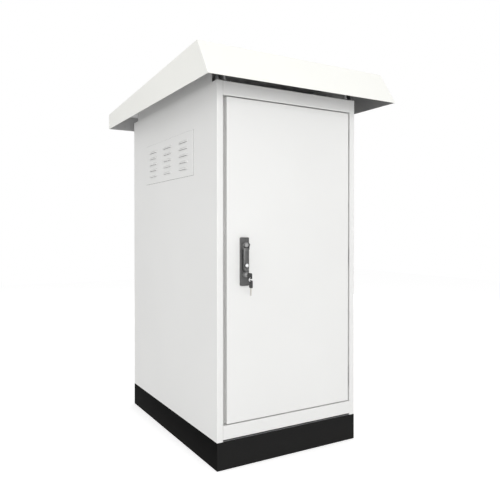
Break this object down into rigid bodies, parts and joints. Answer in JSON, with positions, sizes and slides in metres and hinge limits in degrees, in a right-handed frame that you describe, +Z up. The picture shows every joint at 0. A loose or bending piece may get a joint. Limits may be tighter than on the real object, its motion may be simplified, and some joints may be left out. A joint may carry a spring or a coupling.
{
  "type": "roadside utility cabinet",
  "caption": "Tall outdoor sheet-metal equipment cabinet on a plinth, with a flush lockable door, louvred sides, mounting rails inside and an overhanging rain roof.",
  "frame": {"origin": "centre of the ground anchor pattern, on the plinth's underside", "axes": "+X to the right seen from the front, +Y to the rear, +Z up; the door faces -Y"},
  "size_m": [0.788, 1.072, 1.4261],
  "materials": {
    "white_paint": "fine powder coat",
    "black_paint": "satin powder coat",
    "zinc_steel": "zinc plated",
    "filter_foam": "open foam",
    "earth_copper": "bare copper",
    "post_plastic": "moulded",
    "seal_rubber": "foamed",
    "lock_grey": "satin die casting",
    "button_chrome": "polished",
    "guide_plastic": "moulded",
    "key_plastic": "moulded bow with a steel blade"
  },
  "bodies": {
    "cabinet": {"floor_pan": "white_paint", "left_side_panel": "white_paint", "right_side_panel": "white_paint", "rear_panel": "white_paint", "top_panel": "white_paint", "front_top_rail": "white_paint", "front_bottom_rail": "white_paint", "left_vent_plate": "white_paint", "right_vent_plate": "white_paint", "roof_cover": "white_paint", "left_roof_rail": "white_paint", "right_roof_rail": "white_paint", "plinth": "black_paint", "plinth_bolts": "zinc_steel", "gland_plate": "zinc_steel", "gland_plate_screws": "zinc_steel", "rear_panel_screws": "zinc_steel", "left_filter_frame": "zinc_steel", "right_filter_frame": "zinc_steel", "roof_brackets": "zinc_steel", "roof_bolts": "zinc_steel", "front_left_rack_rail": "zinc_steel", "front_right_rack_rail": "zinc_steel", "rear_left_rack_rail": "zinc_steel", "rear_right_rack_rail": "zinc_steel", "lower_left_depth_rail": "zinc_steel", "lower_right_depth_rail": "zinc_steel", "upper_left_depth_rail": "zinc_steel", "upper_right_depth_rail": "zinc_steel", "upper_frame_hinge": "zinc_steel", "middle_frame_hinge": "zinc_steel", "lower_frame_hinge": "zinc_steel", "upper_hinge_pin": "zinc_steel", "middle_hinge_pin": "zinc_steel", "lower_hinge_pin": "zinc_steel", "left_filter_mat": "filter_foam", "right_filter_mat": "filter_foam", "earth_bar": "earth_copper", "earth_bar_posts": "post_plastic"},
    "door": {"door_panel": "white_paint", "upper_door_stiffener": "white_paint", "lower_door_stiffener": "white_paint", "door_seal": "seal_rubber", "upper_door_hinge": "zinc_steel", "middle_door_hinge": "zinc_steel", "lower_door_hinge": "zinc_steel", "lock_housing": "lock_grey", "lock_bracket": "zinc_steel", "rod_guides": "guide_plastic"},
    "spindle": {"lock_spindle": "lock_grey", "lock_cam": "zinc_steel"},
    "lever": {"lock_lever": "lock_grey"},
    "button": {"push_button": "button_chrome"},
    "upper_lock_rod": {"upper_rod": "zinc_steel"},
    "lower_lock_rod": {"lower_rod": "zinc_steel"},
    "key": {"key_plug": "lock_grey", "lock_key": "key_plastic"},
    "hanging_key": {"key_ring": "zinc_steel", "spare_key": "key_plastic"}
  },
  "joints": [
    {"name": "door_hinge", "type": "hinge", "parent": "cabinet", "child": "door", "pos_m": [0.261, -0.42, 0.711], "axis": [0, 0, 1], "range_deg": [0, 110]},
    {"name": "handle_turn", "type": "hinge", "parent": "door", "child": "spindle", "pos_m": [-0.197, -0.447, 0.7645], "axis": [0, -1, 0], "range_deg": [0, 90]},
    {"name": "lever_lift", "type": "hinge", "parent": "spindle", "child": "lever", "pos_m": [-0.197, -0.447, 0.7645], "axis": [-1, 0, 0], "range_deg": [0, 40]},
    {"name": "button_press", "type": "slide", "parent": "lever", "child": "button", "axis": [0, 1, 0], "range_m": [0, 0.003], "stiffness_N_per_m": 300},
    {"name": "key_turn", "type": "hinge", "parent": "door", "child": "key", "pos_m": [-0.197, -0.447, 0.6625], "axis": [0, -1, 0], "range_deg": [0, 90]},
    {"name": "key_ring_swing", "type": "hinge", "parent": "key", "child": "hanging_key", "pos_m": [-0.197, -0.479, 0.6555], "axis": [-1, 0, 0], "range_deg": [-8, 60]},
    {"name": "upper_rod_slide", "type": "slide", "parent": "door", "child": "upper_lock_rod", "axis": [0, 0, 1], "range_m": [-0.0198, 0]},
    {"name": "lower_rod_slide", "type": "slide", "parent": "door", "child": "lower_lock_rod", "axis": [0, 0, 1], "range_m": [0, 0.0198]}
  ],
  "couplings": [
    {"joint": "upper_rod_slide", "follows": "handle_turn", "m_per_rad": -0.012604},
    {"joint": "lower_rod_slide", "follows": "handle_turn", "m_per_rad": 0.012604}
  ]
}
